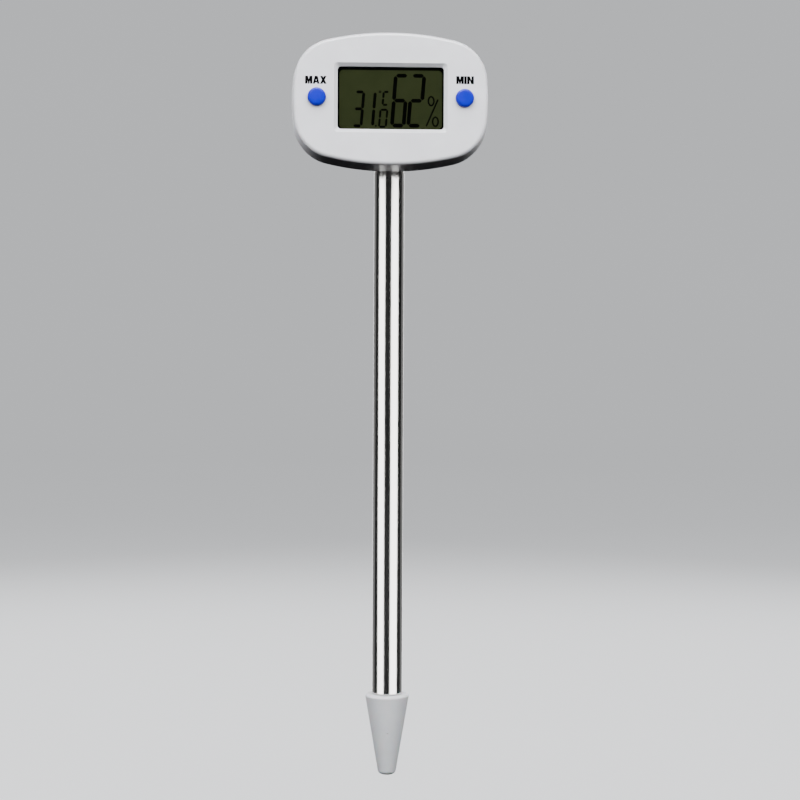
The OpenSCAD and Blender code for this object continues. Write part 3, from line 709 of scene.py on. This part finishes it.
# Plain bold capitals in units of their height: an outline, and for A the hole in it.
LETTERS = {
    "M": (1.30, [(0, 0), (0, 1), (0.50, 1), (0.65, 0.55), (0.80, 1), (1.30, 1), (1.30, 0), (0.88, 0), (0.88, 0.42),
                 (0.76, 0), (0.54, 0), (0.42, 0.42), (0.42, 0)]),
    "A": (1.22, [(0, 0), (0.36, 1), (0.86, 1), (1.22, 0), (0.82, 0), (0.77, 0.16), (0.45, 0.16), (0.40, 0)]),
    "X": (1.18, [(0, 0), (0.34, 0.51), (0.01, 1), (0.46, 1), (0.59, 0.81), (0.72, 1), (1.17, 1), (0.84, 0.51),
                 (1.18, 0), (0.73, 0), (0.59, 0.21), (0.45, 0)]),
    "I": (0.43, [(0, 0), (0, 1), (0.43, 1), (0.43, 0)]),
    "N": (1.16, [(0, 0), (0, 1), (0.43, 1), (0.74, 0.50), (0.74, 1), (1.16, 1), (1.16, 0), (0.73, 0), (0.42, 0.50),
                 (0.42, 0)]),
}
A_HOLE = [(0.54, 0.40), (0.61, 0.62), (0.68, 0.40)]
INK_T = 0.024
LETTER_GAP = 0.06
WORD_H = 2.55


def plate(name, outline, thick):
    """Draws an outline of (x, z) points on the face, fills it and gives it a thickness."""
    made = start_chain(name, [Vector((x, -(FACE - thick / 6), z)) for x, z in outline], 0.1)
    bpy.ops.mesh.edge_face_add()
    everything()
    push(thick)
    leave()
    return finish_shape(made, 20)


def word(name, text, x, z, width):
    """Letters side by side on the face, fitted to a width and centred on a spot."""
    total = sum(LETTERS[c][0] for c in text) + LETTER_GAP * (len(text) - 1)
    at = 0.0
    parts = []

    def fit(spots):
        return [(x + width * ((at + u) / total - 0.5), z + WORD_H * (w - 0.5)) for u, w in spots]

    for c in text:
        span, outline = LETTERS[c]
        letter = plate("letter", fit(outline), INK_T)
        if c == "A":
            hole = plate("letter_hole", fit(A_HOLE), 10 * INK_T)
            edit(hole)
            everything()
            bpy.ops.transform.translate(value=(0, mm(5 * INK_T), 0))
            leave()
            combine(letter, hole, "DIFFERENCE")
        parts.append(letter)
        at += span + LETTER_GAP
    return join(parts, name)


KEY_X = middle_of(max_low, max_high, 0)
settle(word("word_max", "MAX", KEY_X - 0.3, HEAD_Z + 5.73, 6.95), ink, "meter", "dark_plastic")
settle(word("word_min", "MIN", -KEY_X + 0.05, HEAD_Z + 6.12, 5.75), ink, "meter", "dark_plastic")

# ---------------------------------------------------------------- camera

# The eye's distance, step to the right and height, in millimetres, then its turns.
DISTANCE, EYE_RIGHT, EYE_Z = 545.0, 3.887, 126.44
YAW, PITCH, ROLL = math.radians(2.0), math.radians(-0.24), math.radians(0.248)
LENS, SENSOR = 73.8855, 36.0

ahead = Vector((math.sin(YAW), math.cos(YAW), 0))
right = Vector((math.cos(YAW), -math.sin(YAW), 0))
up = Vector((0, 0, 1))
spot = -DISTANCE * ahead + EYE_RIGHT * right + EYE_Z * up
ahead, up = ahead * math.cos(PITCH) + up * math.sin(PITCH), up * math.cos(PITCH) - ahead * math.sin(PITCH)
right, up = right * math.cos(ROLL) + up * math.sin(ROLL), up * math.cos(ROLL) - right * math.sin(ROLL)
camera = bpy.data.objects.new("camera", bpy.data.cameras.new("camera"))
bpy.context.collection.objects.link(camera)
camera.matrix_world = Matrix((
    (right.x, up.x, -ahead.x, mm(spot.x)), (right.y, up.y, -ahead.y, mm(spot.y)),
    (right.z, up.z, -ahead.z, mm(spot.z)), (0, 0, 0, 1)))
camera.data.sensor_width = SENSOR
camera.data.lens = LENS
camera.data.clip_start = 0.01
camera.data.clip_end = 20
bpy.context.scene.camera = camera

# ---------------------------------------------------------------- light and stage

world = bpy.data.worlds.new("dark room")
bpy.context.scene.world = world
world.use_nodes = True
world.node_tree.nodes["Background"].inputs["Color"].default_value = (0.012, 0.012, 0.013, 1)


def softbox(name, angle, distance, low, high, width, radiance, seen_by, z_aim=None):
    """A flat lamp, in metres, that faces the tube at an angle in degrees to the right of the camera's direction."""
    turn = math.radians(angle) - YAW
    where = Vector((math.sin(turn) * distance, -math.cos(turn) * distance, (low + high) / 2))
    lamp = bpy.data.lights.new(name, "AREA")
    lamp.shape = "RECTANGLE"
    lamp.size, lamp.size_y = width, high - low
    lamp.color = (0.965, 0.975, 1.0)
    lamp.energy = radiance * math.pi * width * (high - low)
    made = bpy.data.objects.new(name, lamp)
    bpy.context.collection.objects.link(made)
    aim = Vector((0, 0, where.z if z_aim is None else z_aim))
    made.matrix_world = (Matrix.Translation(where)
                         @ (aim - where).to_track_quat("-Z", "Y").to_matrix().to_4x4())
    made.visible_camera = False
    made.visible_diffuse = seen_by != "gloss"
    made.visible_glossy = seen_by != "matt"
    return made


def only_for(lamps, pieces, name):
    """Keeps lamps to some pieces."""
    group = bpy.data.collections.new(name)
    for obj in pieces:
        group.objects.link(obj)
    for lamp in lamps:
        lamp.light_linking.receiver_collection = group


# Tall lamps that only bare metal mirrors: two bright ones in front, dim ones and a narrow one behind.
only_for([softbox("reflected left", -54, 0.75, -0.90, 0.42, 0.68, 7.5, "gloss"),
          softbox("reflected right", 48, 0.75, -0.90, 0.42, 0.79, 7.5, "gloss"),
          softbox("reflected rear left", -141, 0.75, -0.90, 0.4, 0.70, 0.30, "gloss"),
          softbox("reflected rear middle", 180, 0.75, -0.90, 0.4, 0.42, 5.0, "gloss"),
          softbox("reflected rear right", 141, 0.75, -0.90, 0.4, 0.70, 0.30, "gloss")],
         (tube, screws), "bare metal")
# The sheen along the upper edges of the mouldings, kept off the window so that the display can be read from above.
mouldings = ("front_shell", "rear_shell", "max_key_cap", "min_key_cap", "battery_lid", "cone_cap")
only_for([softbox("sheen above", -4, 0.30, 0.62, 0.92, 0.6, 34.0, "gloss", 0.2)],
         [bpy.data.objects[name] for name in mouldings], "mouldings")
softbox("key left", -38, 0.75, 0.34, 0.84, 0.7, 9.0, "matt", 0.15)
softbox("key right", 38, 0.75, 0.34, 0.84, 0.7, 9.0, "matt", 0.15)
softbox("back left", -145, 0.80, 0.32, 0.82, 0.7, 8.0, "matt", 0.15)
softbox("back right", 145, 0.80, 0.32, 0.82, 0.7, 8.0, "matt", 0.15)
softbox("above", -4, 0.30, 0.62, 0.92, 0.6, 16.0, "matt", 0.2)
# The tube throws no stray light on the covers.
tube.visible_diffuse = False

# The floor lies below the cap's lowest place, so the cap can be pulled off in front of it.
FLOOR_Z, ROOM, ROOM_ROUND = -42.0, 7000, 3000
sweep = turned("floor", rounded([(0, FLOOR_Z, 0), (ROOM, FLOOR_Z, ROOM_ROUND), (ROOM, ROOM, ROOM_ROUND), (0, ROOM, 0)],
                                12), (0, 0, 0), (0, 0, 1), 96)
pale = material("pale paper")
tint = add(pale, "ShaderNodeTexNoise", {"Vector": add(pale, "ShaderNodeTexCoord").outputs["Object"], "Scale": 0.6})
shade = add(pale, "ShaderNodeMapRange", {"Value": tint.outputs["Fac"], "To Min": 0.60, "To Max": 0.63})
glow = add(pale, "ShaderNodeEmission", {"Color": (0.95, 0.97, 1.0, 1), "Strength": shade.outputs["Result"]})
matt = add(pale, "ShaderNodeBsdfDiffuse", {"Color": (0.35, 0.35, 0.35, 1)})
blend = add(pale, "ShaderNodeAddShader", {0: glow.outputs["Emission"], 1: matt.outputs["BSDF"]})
add(pale, "ShaderNodeOutputMaterial", {"Surface": blend.outputs["Shader"]})
paint(sweep, pale)
sweep.visible_diffuse = sweep.visible_glossy = sweep.visible_transmission = sweep.visible_shadow = False
